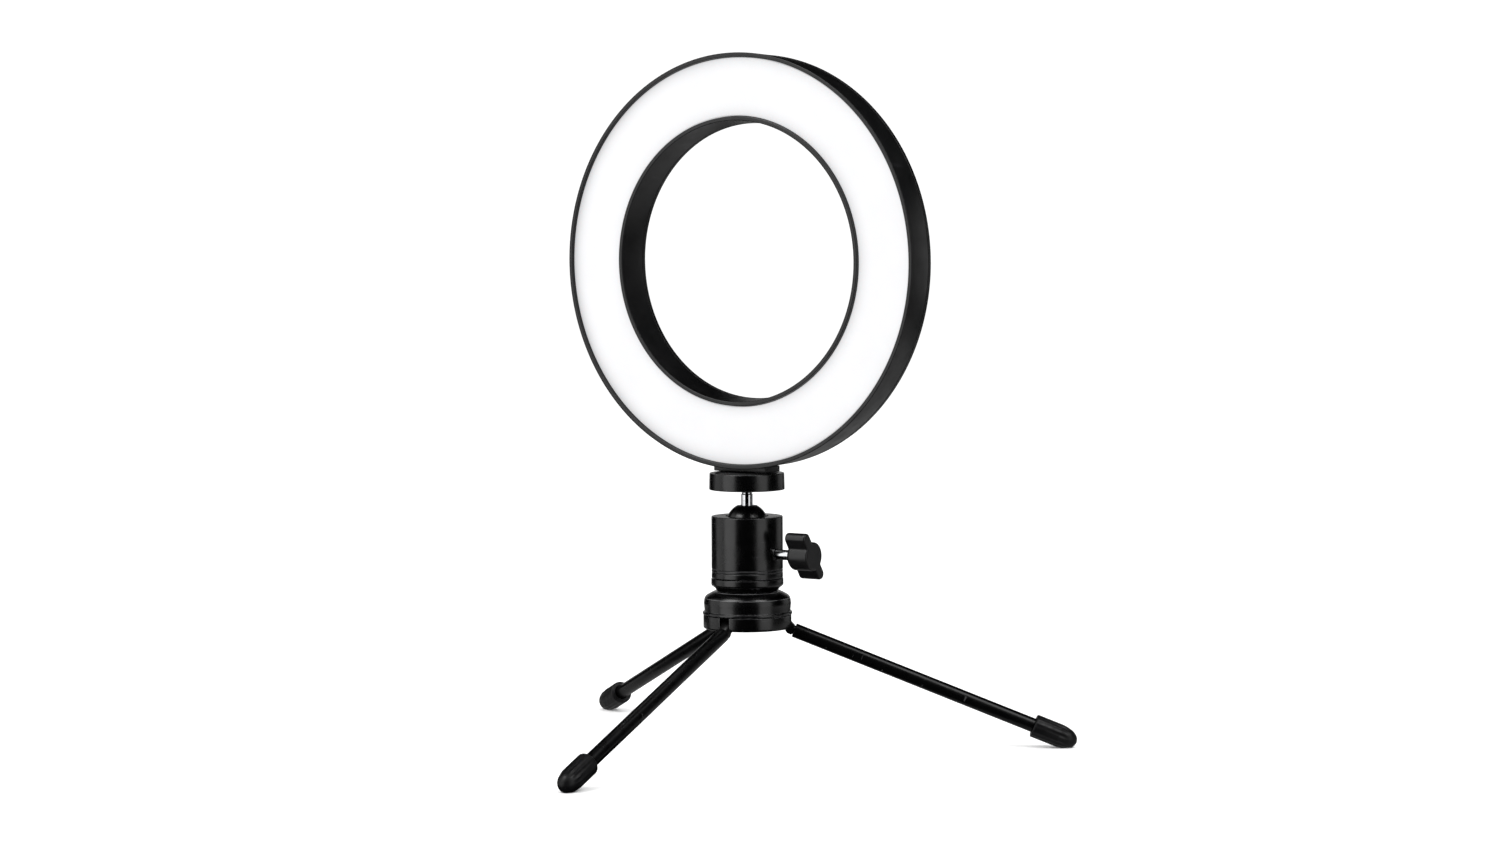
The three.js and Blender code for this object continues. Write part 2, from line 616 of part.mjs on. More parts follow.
function tripod() {

	const stand = new THREE.Group();
	stand.add( piece( 'hub_cap', hubCap(), anodised ) );
	stand.add( piece( 'hub_body', hubBody(), anodised ) );
	stand.add( piece( 'centre_bolt', centreBolt(), steel ) );
	leg.azimuths.forEach( ( azimuth, index ) => {

		const number = index + 1;
		const spoke = new THREE.Group();
		spoke.rotation.z = radians( azimuth );
		const hingePin = piece( `leg_pin_${ number }`,
			solid( rod( pin.radius, - pin.halfLength, pin.halfLength, 16 ).rotateX( Math.PI / 2 ) ), steel );
		hingePin.position.set( leg.pinR, 0, leg.pinZ );
		const limb = new THREE.Group();
		limb.position.copy( hingePin.position );
		limb.rotation.y = radians( leg.slope );
		limb.add( piece( `leg_tang_${ number }`, legTang(), enamel ) );
		limb.add( piece( `leg_tube_${ number }`, legTube(), enamel ) );
		limb.add( piece( `leg_foot_${ number }`, legFoot(), rubber ) );
		spoke.add( hingePin, limb );
		stand.add( spoke );

	} );
	return stand;

}

// ---------------------------------------------------------------- the whole

const light = new THREE.Group();
light.add( tripod(), ballHead(), ringLamp() );

const bounds = new THREE.Box3().setFromObject( light, true );
const middle = bounds.getCenter( new THREE.Vector3() );
light.position.set( - middle.x, - middle.y, 0 );

const group = new THREE.Group();
group.add( light );

export default group;
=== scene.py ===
"""A desk ring light on a mini ball head and a folding mini tripod, in metres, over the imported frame."""

from math import atan2, ceil, cos, pi, radians, sin

import bmesh
import bpy
from mathutils import Matrix, Vector


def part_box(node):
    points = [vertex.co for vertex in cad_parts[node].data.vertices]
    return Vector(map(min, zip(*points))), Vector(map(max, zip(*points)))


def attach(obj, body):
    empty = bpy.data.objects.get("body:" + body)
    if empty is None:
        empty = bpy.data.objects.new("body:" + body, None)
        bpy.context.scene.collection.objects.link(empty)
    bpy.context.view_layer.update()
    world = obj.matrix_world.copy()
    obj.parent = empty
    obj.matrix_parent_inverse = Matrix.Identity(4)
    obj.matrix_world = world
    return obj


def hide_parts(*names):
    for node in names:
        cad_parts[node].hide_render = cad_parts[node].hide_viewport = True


MM = 0.001
SMOOTH_ANGLE = radians(32)

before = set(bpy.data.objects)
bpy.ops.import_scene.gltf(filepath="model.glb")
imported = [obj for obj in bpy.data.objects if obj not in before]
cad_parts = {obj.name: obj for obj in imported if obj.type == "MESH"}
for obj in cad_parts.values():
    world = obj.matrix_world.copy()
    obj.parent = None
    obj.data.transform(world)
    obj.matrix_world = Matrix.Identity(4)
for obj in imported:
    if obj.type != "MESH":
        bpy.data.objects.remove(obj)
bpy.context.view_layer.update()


def low(node):
    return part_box(node)[0]


def high(node):
    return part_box(node)[1]


def centre(node):
    return (low(node) + high(node)) / 2


def radius(node):
    """Half a node's greatest level width."""
    size = high(node) - low(node)
    return max(size.x, size.y) / 2


# ---------------------------------------------------------------- places and sizes

STAND_AXIS = Vector((centre("head_barrel").x, centre("head_barrel").y, 0))
RING_CENTRE = centre("diffuser")
RING_CENTRE.y = (low("ring_housing").y + high("back_cover").y) / 2
RING_DEPTH = high("back_cover").y - low("ring_housing").y
RING_R = (high("ring_housing").x - low("ring_housing").x) / 2
BALL_CENTRE_Z = low("ball").z + radius("ball")
LOCK_Z = centre("lock_screw").z

OPENING_R = 54 * MM
OUTER_DRAFT = 0.5 * MM
OPENING_DRAFT = 0.9 * MM
LIP = 1.6 * MM
RECESS = 0.8 * MM
DIFFUSER_THICKNESS = 1.9 * MM
LEDGE = 1.0 * MM
COVER_THICKNESS = 2.0 * MM
SEAM = 0.3 * MM
SCREW_CIRCLE_R = (RING_R + OPENING_R) / 2
COVER_SCREW_ANGLES = [0, 60, 120, 180, 240, 300]
RIB_ANGLES = [30, 150, 270]
BOARD_SCREWS = 3
SOCKET_ANGLE = 255
SOCKET_SIZE = (8.6 * MM, 3.2 * MM)
BOSS = Vector((24.5, 10, 0)) * MM

LEG_NUMBERS = [1, 2, 3]
LEG_SLOPE = radians(21.92)
LEG_AXIS_DROP = 1.26 * MM
LEG_SLOT_WIDTH = 4.4 * MM
LEG_SLOT_INNER_R = 10 * MM
TUBE_START = 6.4 * MM
TUBE_END = 118 * MM
TUBE_R = 2.78 * MM
TUBE_BORE = 2.05 * MM
FOOT_START = 106.3 * MM
FOOT_TIP = 124.3 * MM
FOOT_R = 4.55 * MM

WING_ANGLE = radians(56)
WING_REACH = 10.7 * MM
WING_THICKNESS = 4.4 * MM
KNOB_CORE_R = 5.6 * MM
SCREW_HOLE_R = 2.3 * MM
KNOB_BORE_DEPTH = 3.8 * MM

STUD_HOLE_TOP = 103.8 * MM
BALL_HOLE_BOTTOM = 86 * MM
BOLT_HOLE_TOP = 68.5 * MM
BOLT_HEAD_TOP = 49.6 * MM
BOLT_STEP = 49.9 * MM
BARREL_GROOVES = (69.7 * MM, 68.6 * MM)
BASE_NECK_R = 12.6 * MM
HUB_BORE_R = 3.6 * MM


# ---------------------------------------------------------------- camera, floor and light

CAMERA_FROM_STAND = Vector((0.8101, -1.1745, 0.2169))
CAMERA_AZIMUTH = 34.543
CAMERA_DOWN = 3.622
CAMERA_ROLL = -0.268
CAMERA_LENS = 88.77
LIGHT_TARGET_Z = 0.12
FLOOR_HALF = 8
FLOOR_GAP = 0.2 * MM


def into_scene(made):
    bpy.context.scene.collection.objects.link(made)
    return made


def camera():
    """In front of the lamp and to its right, a little above the ring's centre, and looking slightly down."""
    data = bpy.data.cameras.new("camera")
    data.sensor_width = 36
    data.lens = CAMERA_LENS
    data.clip_end = 20
    viewer = into_scene(bpy.data.objects.new("camera", data))
    place = Matrix.Translation(STAND_AXIS + CAMERA_FROM_STAND)
    azimuth = Matrix.Rotation(radians(CAMERA_AZIMUTH), 4, "Z")
    tilt = Matrix.Rotation(radians(90 - CAMERA_DOWN), 4, "X")
    viewer.matrix_world = place @ azimuth @ tilt @ Matrix.Rotation(radians(CAMERA_ROLL), 4, "Z")
    bpy.context.scene.camera = viewer


def softbox(name, *, azimuth, elevation, distance, width, height, radiance):
    """A soft light that faces the lamp. Azimuth 0 is in front of the lamp and 90 on its +X side."""
    data = bpy.data.lights.new(name, "AREA")
    data.shape = "RECTANGLE"
    data.size = width
    data.size_y = height
    data.energy = radiance * pi * width * height
    light = into_scene(bpy.data.objects.new(name, data))
    a, e = radians(azimuth), radians(elevation)
    away = Vector((sin(a) * cos(e), -cos(a) * cos(e), sin(e)))
    light.location = STAND_AXIS + Vector((0, 0, LIGHT_TARGET_Z)) + away * distance
    light.rotation_euler = away.to_track_quat("Z", "Y").to_euler()


def level_sheet(name, x, y, z, inputs):
    """A level rectangle over the ranges x and y, of one plain material, that isn't part of the lamp."""
    corners = [(x[0], y[0], 0), (x[1], y[0], 0), (x[1], y[1], 0), (x[0], y[1], 0)]
    mesh = bpy.data.meshes.new(name)
    mesh.from_pydata(corners, [], [(0, 1, 2, 3)])
    sheet = into_scene(bpy.data.objects.new(name, mesh))
    sheet.location.z = z
    plain = bpy.data.materials.new(name)
    plain.use_nodes = True
    for key, value in inputs.items():
        plain.node_tree.nodes["Principled BSDF"].inputs[key].default_value = value
    mesh.materials.append(plain)
    return sheet


def studio():
    bpy.context.scene.view_settings.view_transform = "Standard"
    world = bpy.data.worlds.new("studio")
    world.use_nodes = True
    world.node_tree.nodes["Background"].inputs["Color"].default_value = (1, 1, 1, 1)
    world.node_tree.nodes["Background"].inputs["Strength"].default_value = 1.1
    world.cycles_visibility.glossy = False
    bpy.context.scene.world = world
    beside = {"elevation": 8, "distance": 1.6, "height": 1.7}
    softbox("light_left", azimuth=-24, width=1.2, radiance=1.4, **beside)
    softbox("light_far_left", azimuth=-65, width=1.0, radiance=0.65, **beside)
    softbox("light_right", azimuth=83, width=1.0, radiance=1.0, **beside)
    above = {"elevation": 52, "distance": 1.6, "height": 0.8, "radiance": 4.5}
    softbox("light_high_left", azimuth=-25, width=0.9, **above)
    softbox("light_high_right", azimuth=90, width=0.8, **above)
    behind = {"elevation": 3, "distance": 1.8, "height": 0.7}
    softbox("light_back_right", azimuth=160, width=1.0, radiance=0.38, **behind)
    softbox("light_back_left", azimuth=215, width=1.6, radiance=0.45, **behind)


def reflector():
    """A glowing card behind the lamp, under the floor, that shows only in reflections."""
    glow = {"Base Color": (0, 0, 0, 1), "Emission Color": (1, 1, 1, 1), "Emission Strength": 0.33}
    card = level_sheet("reflector", (-0.5, 0.4), (0.06, 0.5), -0.02, glow)
    card.visible_camera = False
    card.visible_diffuse = False
    card.visible_shadow = False


def floor():
    """Plain white paper. It is left out of reflections, so the black parts stay black."""
    span = (-FLOOR_HALF, FLOOR_HALF)
    paper = {"Base Color": (0.95, 0.95, 0.95, 1), "Specular IOR Level": 0}
    level_sheet("floor", span, span, -FLOOR_GAP, paper).visible_glossy = False


# ---------------------------------------------------------------- materials


class Finish:
    """A procedural material, built up in layers over the piece's own coordinates."""

    def __init__(self, name, colour, roughness, metallic=0.0):
        self.material = bpy.data.materials.new(name)
        self.material.use_nodes = True
        self.tree = self.material.node_tree
        self.shader = self.tree.nodes["Principled BSDF"]
        self.colour = colour
        self.shader.inputs["Base Color"].default_value = (*colour, 1)
        self.shader.inputs["Roughness"].default_value = roughness
        self.shader.inputs["Metallic"].default_value = metallic
        self.roughness = roughness
        self.place = self.node("ShaderNodeTexCoord").outputs["Object"]
        self.height = None

    def node(self, kind, **settings):
        made = self.tree.nodes.new(kind)
        for key, value in settings.items():
            setattr(made, key, value)
        return made

    def link(self, source, target):
        self.tree.links.new(source, target)

    def maths(self, operation, first, second):
        """A maths node on a socket and on another socket or a number."""
        made = self.node("ShaderNodeMath", operation=operation)
        self.link(first, made.inputs[0])
        if isinstance(second, (int, float)):
            made.inputs[1].default_value = second
        else:
            self.link(second, made.inputs[1])
        return made.outputs["Value"]

    def noise(self, size, detail=3.0, stretch=(1, 1, 1)):
        """Noise whose features are about this size, in metres, drawn out where stretch is under 1."""
        mapping = self.node("ShaderNodeMapping")
        mapping.inputs["Scale"].default_value = [s / size for s in stretch]
        self.link(self.place, mapping.inputs["Vector"])
        texture = self.node("ShaderNodeTexNoise")
        texture.inputs["Scale"].default_value = 1.0
        texture.inputs["Detail"].default_value = detail
        self.link(mapping.outputs["Vector"], texture.inputs["Vector"])
        return texture.outputs["Fac"]

    def spread(self, source, at_start, at_end, start=0.3, end=0.7):
        """The source's range from start to end, spread over at_start to at_end."""
        ramp = self.node("ShaderNodeMapRange")
        for key, value in (("From Min", start), ("From Max", end), ("To Min", at_start), ("To Max", at_end)):
            ramp.inputs[key].default_value = value
        self.link(source, ramp.inputs["Value"])
        return ramp.outputs["Result"]

    def tint(self, mask, colour):
        """Colour laid over what is there, by the mask. The mix node's sockets for colours go by number."""
        mix = self.node("ShaderNodeMix", data_type="RGBA")
        factor, under, over, result = mix.inputs[0], mix.inputs[6], mix.inputs[7], mix.outputs[2]
        here = self.shader.inputs["Base Color"]
        if here.is_linked:
            self.link(here.links[0].from_socket, under)
        else:
            under.default_value = here.default_value
        over.default_value = (*colour, 1)
        self.link(mask, factor)
        self.link(result, here)
        return self

    def mottle(self, size, amount):
        """Uneven colour: patches whose colour is the base times this amount."""
        patches = [min(1, c * amount) for c in self.colour]
        return self.tint(self.spread(self.noise(size, 4.0), 0, 1), patches)

    def vary_roughness(self, size, swing):
        source = self.noise(size, 4.0)
        rough = self.spread(source, self.roughness - swing, self.roughness + swing)
        self.link(rough, self.shader.inputs["Roughness"])
        return self

    def bump(self, source, height):
        """One more layer of relief, in metres."""
        bump = self.node("ShaderNodeBump")
        bump.inputs["Strength"].default_value = 1.0
        bump.inputs["Distance"].default_value = height
        self.link(source, bump.inputs["Height"])
        if self.height is not None:
            self.link(self.height, bump.inputs["Normal"])
        self.height = bump.outputs["Normal"]
        self.link(self.height, self.shader.inputs["Normal"])
        return self

    def grain(self, size, height, detail=2.0, stretch=(1, 1, 1)):
        return self.bump(self.noise(size, detail, stretch), height)

    def scratches(self, size, colour, level, stretch):
        """Thin marks where the noise passes this level, drawn out where stretch is under 1."""
        marks = self.spread(self.noise(size, 6.0, stretch), 0, 1, level, level + 0.06)
        return self.tint(marks, colour)

    def edge_wear_and_highlight(self, reach, colour, amount):
        """A lighter line along convex edges, broken up by noise: partly edge wear, partly a painted edge
        highlight.
        """
        bevel = self.node("ShaderNodeBevel", samples=4)
        bevel.inputs["Radius"].default_value = reach
        geometry = self.node("ShaderNodeNewGeometry")
        dot = self.node("ShaderNodeVectorMath", operation="DOT_PRODUCT")
        self.link(bevel.outputs["Normal"], dot.inputs[0])
        self.link(geometry.outputs["Normal"], dot.inputs[1])
        edge = self.spread(dot.outputs["Value"], amount, 0, 0.86, 0.995)
        broken = self.spread(self.noise(2.5 * MM), 0.2, 1)
        return self.tint(self.maths("MULTIPLY", edge, broken), colour)

    def coat(self, weight, roughness):
        self.shader.inputs["Coat Weight"].default_value = weight
        self.shader.inputs["Coat Roughness"].default_value = roughness
        return self

    def radial(self):
        """Distance from the piece's own Z axis."""
        flat = self.node("ShaderNodeVectorMath", operation="MULTIPLY")
        flat.inputs[1].default_value = (1, 1, 0)
        self.link(self.place, flat.inputs[0])
        length = self.node("ShaderNodeVectorMath", operation="LENGTH")
        self.link(flat.outputs["Vector"], length.inputs[0])
        return length.outputs["Value"]


def moulded_plastic(name, colour, roughness):
    finish = Finish(name, colour, roughness)
    finish.mottle(14 * MM, 1.7).vary_roughness(6 * MM, 0.06).grain(0.35 * MM, 0.012 * MM)
    finish.grain(5 * MM, 0.02 * MM).scratches(2 * MM, (0.008, 0.008, 0.009), 0.68, (1, 0.1, 0.1))
    # lighter edges: edge wear together with a painted edge highlight
    return finish.edge_wear_and_highlight(0.35 * MM, (0.06, 0.06, 0.062), 0.6).material


def anodised_metal(name, colour, roughness):
    finish = Finish(name, colour, roughness)
    finish.shader.inputs["Specular IOR Level"].default_value = 0.62
    finish.mottle(9 * MM, 1.8).vary_roughness(5 * MM, 0.05)
    finish.grain(0.16 * MM, 0.0035 * MM, 2.0, (0.02, 0.02, 1)).grain(0.3 * MM, 0.002 * MM)
    finish.scratches(1.4 * MM, (0.03, 0.03, 0.032), 0.69, (0.08, 0.08, 1))
    # lighter edges: edge wear together with a painted edge highlight
    return finish.edge_wear_and_highlight(0.3 * MM, (0.16, 0.16, 0.165), 0.75).material


def black_enamel():
    finish = Finish("black_enamel", (0.0006, 0.0006, 0.0007), 0.3).coat(0.12, 0.1)
    finish.shader.inputs["Specular IOR Level"].default_value = 0.2
    finish.mottle(7 * MM, 1.8).vary_roughness(4 * MM, 0.06).grain(1.1 * MM, 0.01 * MM)
    finish.scratches(1.6 * MM, (0.035, 0.035, 0.036), 0.68, (0.06, 1, 1))
    # lighter edges: edge wear together with a painted edge highlight
    return finish.edge_wear_and_highlight(0.25 * MM, (0.05, 0.05, 0.052), 0.6).material


def bright_metal(name, colour, roughness, swing=0.06):
    finish = Finish(name, colour, roughness, 1.0)
    finish.mottle(3 * MM, 0.86).vary_roughness(2 * MM, swing)
    finish.grain(0.12 * MM, 0.002 * MM, 2.0, (0.05, 0.05, 1))
    return finish.scratches(0.8 * MM, [0.55 * c for c in colour], 0.66, (0.1, 0.1, 1)).material


def moulded_rubber():
    finish = Finish("rubber", (0.0014, 0.0014, 0.0016), 0.42)
    finish.shader.inputs["Specular IOR Level"].default_value = 0.3
    finish.mottle(2.2 * MM, 2.4).vary_roughness(1.5 * MM, 0.1).grain(0.22 * MM, 0.02 * MM)
    finish.grain(1.6 * MM, 0.03 * MM)
    # lighter edges: edge wear together with a painted edge highlight
    return finish.edge_wear_and_highlight(0.4 * MM, (0.03, 0.03, 0.032), 0.6).material


def milky_diffuser():
    """The lit cover: evenly white, with a soft shadow along the outer edge on -X and the inner edge on +X."""
    finish = Finish("diffuser", (0.9, 0.9, 0.91), 0.32)
    finish.shader.inputs["Subsurface Weight"].default_value = 0.15
    finish.shader.inputs["Subsurface Scale"].default_value = 1.5 * MM
    axes = finish.node("ShaderNodeSeparateXYZ")
    finish.link(finish.place, axes.inputs[0])

    def shadow(edge, reach, at_left, at_right):
        """The shade that rises over this reach up to the edge, from one strength at -X to another at +X."""
        fall = 3
        near = finish.maths("POWER", finish.spread(finish.radial(), 0, 1, edge - reach, edge), fall)
        side = finish.spread(axes.outputs["X"], at_left, at_right, -RING_R, RING_R)
        return finish.maths("MULTIPLY", near, side)

    outer_shadow = shadow(RING_R - LIP, 8.5 * MM, 0.5, 0.02)
    inner_shadow = shadow(OPENING_R + LIP, -8 * MM, 0.04, 0.38)
    cloud = finish.spread(finish.noise(16 * MM, 2.0), 0.975, 1.0)
    lit = finish.maths("SUBTRACT", cloud, finish.maths("ADD", outer_shadow, inner_shadow))
    glow = finish.node("ShaderNodeVectorMath", operation="SCALE")
    glow.inputs[0].default_value = (0.985, 0.985, 1)
    finish.link(lit, glow.inputs["Scale"])
    body = finish.node("ShaderNodeVectorMath", operation="SCALE")
    finish.link(glow.outputs["Vector"], body.inputs[0])
    body.inputs["Scale"].default_value = 0.2
    finish.link(glow.outputs["Vector"], finish.shader.inputs["Emission Color"])
    finish.link(body.outputs["Vector"], finish.shader.inputs["Base Color"])
    finish.shader.inputs["Emission Strength"].default_value = 0.64
    finish.vary_roughness(3 * MM, 0.04).grain(0.5 * MM, 0.006 * MM)
    return finish.material


def circuit_board():
    finish = Finish("circuit_board", (0.78, 0.79, 0.76), 0.5)
    finish.mottle(6 * MM, 0.93).vary_roughness(3 * MM, 0.08).grain(0.3 * MM, 0.006 * MM)
    return finish.scratches(1.8 * MM, (0.55, 0.56, 0.5), 0.62, (1, 1, 1)).material


def soft_polymer(name, colour, roughness):
    finish = Finish(name, colour, roughness)
    finish.mottle(2 * MM, 0.85).vary_roughness(1.5 * MM, 0.08).grain(0.3 * MM, 0.008 * MM)
    return finish.material


black_plastic = moulded_plastic("black_plastic", (0.0026, 0.0026, 0.0028), 0.36)
knob_plastic = moulded_plastic("knob_plastic", (0.0026, 0.0026, 0.0028), 0.34)
anodised = anodised_metal("black_anodised", (0.0003, 0.0003, 0.0004), 0.25)
enamel = black_enamel()
chrome = bright_metal("chrome", (0.78, 0.79, 0.81), 0.12, 0.04)
steel = bright_metal("steel", (0.5, 0.5, 0.51), 0.28)
brass = bright_metal("brass", (0.6, 0.43, 0.19), 0.3)
rubber = moulded_rubber()
white_glow = milky_diffuser()
board_white = circuit_board()
nylon = soft_polymer("nylon", (0.72, 0.7, 0.64), 0.5)
red_sleeve = soft_polymer("red_sleeve", (0.42, 0.02, 0.015), 0.45)
black_sleeve = soft_polymer("black_sleeve", (0.012, 0.012, 0.012), 0.45)


# ---------------------------------------------------------------- meshes


def rounded(outline, steps=4):
    """A closed outline of (x, y, r) corners with each corner eased over r on both sides."""
    points = []
    for i, (x, y, r) in enumerate(outline):
        corner = Vector((x, y))
        if r == 0:
            points.append(corner)
            continue
        before = Vector(outline[i - 1][:2])
        after = Vector(outline[(i + 1) % len(outline)][:2])
        start = corner + (before - corner).normalized() * r
        end = corner + (after - corner).normalized() * r
        for k in range(steps + 1):
            t = k / steps
            points.append(start.lerp(corner, t).lerp(corner.lerp(end, t), t))
    return points


def revolve(bm, profile, segments, place=Matrix.Identity(4)):
    """Adds a closed (radius, height) profile turned about Z. Points on the axis become one vertex."""
    axis_limit = 1e-7
    rings = []
    for r, z in profile:
        if r < axis_limit:
            rings.append([bm.verts.new(place @ Vector((0, 0, z)))] * segments)
            continue
        turns = [2 * pi * k / segments for k in range(segments)]
        rings.append([bm.verts.new(place @ Vector((r * cos(a), r * sin(a), z))) for a in turns])
    for i, ring_a in enumerate(rings):
        ring_b = rings[(i + 1) % len(rings)]
        for k in range(segments):
            n = (k + 1) % segments
            corners = list(dict.fromkeys([ring_a[k], ring_a[n], ring_b[n], ring_b[k]]))
            if len(corners) > 2:
                bm.faces.new(corners)


def extrude(bm, outline, bottom, top, place=Matrix.Identity(4)):
    """Adds a closed outline of 2-D points, drawn out from bottom to top along Z."""
    rings = [[bm.verts.new(place @ Vector((x, y, z))) for x, y in outline] for z in (bottom, top)]
    bm.faces.new(rings[0])
    bm.faces.new(rings[1])
    for k in range(len(outline)):
        n = (k + 1) % len(outline)
        bm.faces.new([rings[0][k], rings[0][n], rings[1][n], rings[1][k]])


def stadium(length, width, steps=12):
    straight = (length - width) / 2
    ends = []
    for side, start in ((1, -pi / 2), (-1, pi / 2)):
        for k in range(steps + 1):
            a = start + pi * k / steps
            ends.append(Vector((side * straight + width / 2 * cos(a), width / 2 * sin(a))))
    return ends


def rectangle(x, y, r=0.0):
    return rounded([(-x / 2, -y / 2, r), (x / 2, -y / 2, r), (x / 2, y / 2, r), (-x / 2, y / 2, r)])


def smooth(mesh):
    mesh.shade_smooth()
    mesh.set_sharp_from_angle(angle=SMOOTH_ANGLE)


def make(name, bm, material, place=Matrix.Identity(4)):
    """A Blender object from mesh code, with its faces turned outwards."""
    bmesh.ops.recalc_face_normals(bm, faces=bm.faces)
    mesh = bpy.data.meshes.new(name)
    bm.to_mesh(mesh)
    bm.free()
    mesh.materials.append(material)
    smooth(mesh)
    made = into_scene(bpy.data.objects.new(name, mesh))
    made.matrix_world = place
    return made


def turned(name, profile, material, place, segments=128):
    bm = bmesh.new()
    revolve(bm, profile, segments)
    return make(name, bm, material, place)


def apply_modifiers(piece):
    graph = bpy.context.evaluated_depsgraph_get()
    graph.update()
    mesh = bpy.data.meshes.new_from_object(piece.evaluated_get(graph))
    piece.modifiers.clear()
    piece.data = mesh
    smooth(mesh)


def cut(piece, cutter_mesh):
    """Takes the cutter, in the piece's own coordinates, out of the piece."""
    bmesh.ops.recalc_face_normals(cutter_mesh, faces=cutter_mesh.faces)
    mesh = bpy.data.meshes.new("cutter")
    cutter_mesh.to_mesh(mesh)
    cutter_mesh.free()
    cutter = into_scene(bpy.data.objects.new("cutter", mesh))
    cutter.matrix_world = piece.matrix_world
    boolean = piece.modifiers.new("cut", "BOOLEAN")
    boolean.operation = "DIFFERENCE"
    boolean.solver = "EXACT"
    boolean.object = cutter
    boolean.use_self = False
    bpy.context.view_layer.update()
    apply_modifiers(piece)
    bpy.data.objects.remove(cutter)


def ease_edges(piece, width, segments):
    """Rounds the edges that turn sharply."""
    bevel = piece.modifiers.new("eased", "BEVEL")
    bevel.width = width
    bevel.segments = segments
    bevel.limit_method = "ANGLE"
    apply_modifiers(piece)


def rod(bm, r, bottom, top, segments, place=Matrix.Identity(4)):
    revolve(bm, [(0, bottom), (r, bottom), (r, top), (0, top)], segments, place)


def thread(bm, r, bottom, top, pitch, depth):
    """A screw thread: a turned surface whose radius rises and falls along a helix."""
    segments = 40
    steps_per_turn = 6
    count = ceil((top - bottom) / pitch * steps_per_turn)
    rings = []
    for i in range(count + 1):
        z = bottom + (top - bottom) * i / count
        row = []
        for k in range(segments):
            phase = (z / pitch - k / segments) % 1
            taper = min(1, (z - bottom) / pitch, (top - z) / pitch)
            here = r - depth * (1 - taper * (1 - abs(2 * phase - 1)))
            a = 2 * pi * k / segments
            row.append(bm.verts.new((here * cos(a), here * sin(a), z)))
        rings.append(row)
    for lower, upper in zip(rings, rings[1:]):
        for k in range(segments):
            n = (k + 1) % segments
            bm.faces.new([lower[k], lower[n], upper[n], upper[k]])
    bm.faces.new(rings[0])
    bm.faces.new(rings[-1])


def stands_for(piece, body, slot, *nodes):
    """The piece rides on its body and takes the CAD nodes' place; its finish slot is not used."""
    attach(piece, body)
    if nodes:
        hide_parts(*nodes)


def about_z(degrees, r, z):
    return Matrix.Rotation(radians(degrees), 4, "Z") @ Matrix.Translation((r, 0, z))


# ---------------------------------------------------------------- the ring lamp
# Its own coordinates: +Z is the way it shines and +Y is up.

LAMP = Matrix.Translation(RING_CENTRE) @ Matrix.Rotation(pi / 2, 4, "X")
FRONT = RING_DEPTH / 2
BACK = -RING_DEPTH / 2
COVER_FRONT = BACK + COVER_THICKNESS
WALL_END = COVER_FRONT + SEAM
LEDGE_Z = FRONT - RECESS - DIFFUSER_THICKNESS - SEAM
RING_SEGMENTS = 256


def housing():
    """Two thin walls joined by ribs, with the mounting boss under them."""
    ease = 0.35 * MM
    wall_in = RING_R - LIP
    wall_out = OPENING_R + LIP
    bm = bmesh.new()
    walls = (
        (RING_R, wall_in, wall_in - LEDGE, RING_R - OUTER_DRAFT),
        (OPENING_R, wall_out, wall_out + LEDGE, OPENING_R - OPENING_DRAFT),
    )
    for face, hidden, ledge, back in walls:
        revolve(bm, rounded([
            (face, FRONT, ease), (hidden, FRONT, ease), (hidden, LEDGE_Z, 0.1 * MM), (ledge, LEDGE_Z, 0),
            (ledge, WALL_END, 0), (back, WALL_END, 0.15 * MM),
        ]), RING_SEGMENTS)
    rib_top = FRONT - 10 * MM
    for angle in COVER_SCREW_ANGLES + RIB_ANGLES:
        rib = rectangle(wall_in - wall_out, 3.2 * MM)
        extrude(bm, rib, WALL_END, rib_top, about_z(angle, SCREW_CIRCLE_R, 0))
    shell = make("ring_shell", bm, black_plastic, LAMP)
    stands_for(shell, "ring_lamp", "black_plastic", "ring_housing")

    boss_bottom = low("ring_housing").z - RING_CENTRE.z
    bm = bmesh.new()
    upright = Matrix.Rotation(-pi / 2, 4, "X")
    extrude(bm, rectangle(BOSS.x, BOSS.y, 0.7 * MM), boss_bottom, -RING_R + 1.2 * MM, upright)
    boss = make("ring_boss", bm, black_plastic, LAMP)
    ease_edges(boss, 0.3 * MM, 3)
    hole = bmesh.new()
    insert_depth = 4 * MM
    rod(hole, radius("threaded_insert") + SEAM, boss_bottom - MM, boss_bottom + insert_depth, 48, upright)
    cut(boss, hole)
    stands_for(boss, "ring_lamp", "black_plastic")


def diffuser_ring():
    front = FRONT - RECESS
    inner, outer = OPENING_R + LIP + SEAM, RING_R - LIP - SEAM
    ease = 0.4 * MM
    profile = rounded([
        (inner, front - DIFFUSER_THICKNESS, 0), (outer, front - DIFFUSER_THICKNESS, 0),
        (outer, front, ease), (inner, front, ease),
    ])
    ring = turned("diffuser_ring", profile, white_glow, LAMP, RING_SEGMENTS)
    stands_for(ring, "ring_lamp", "diffuser", "diffuser")


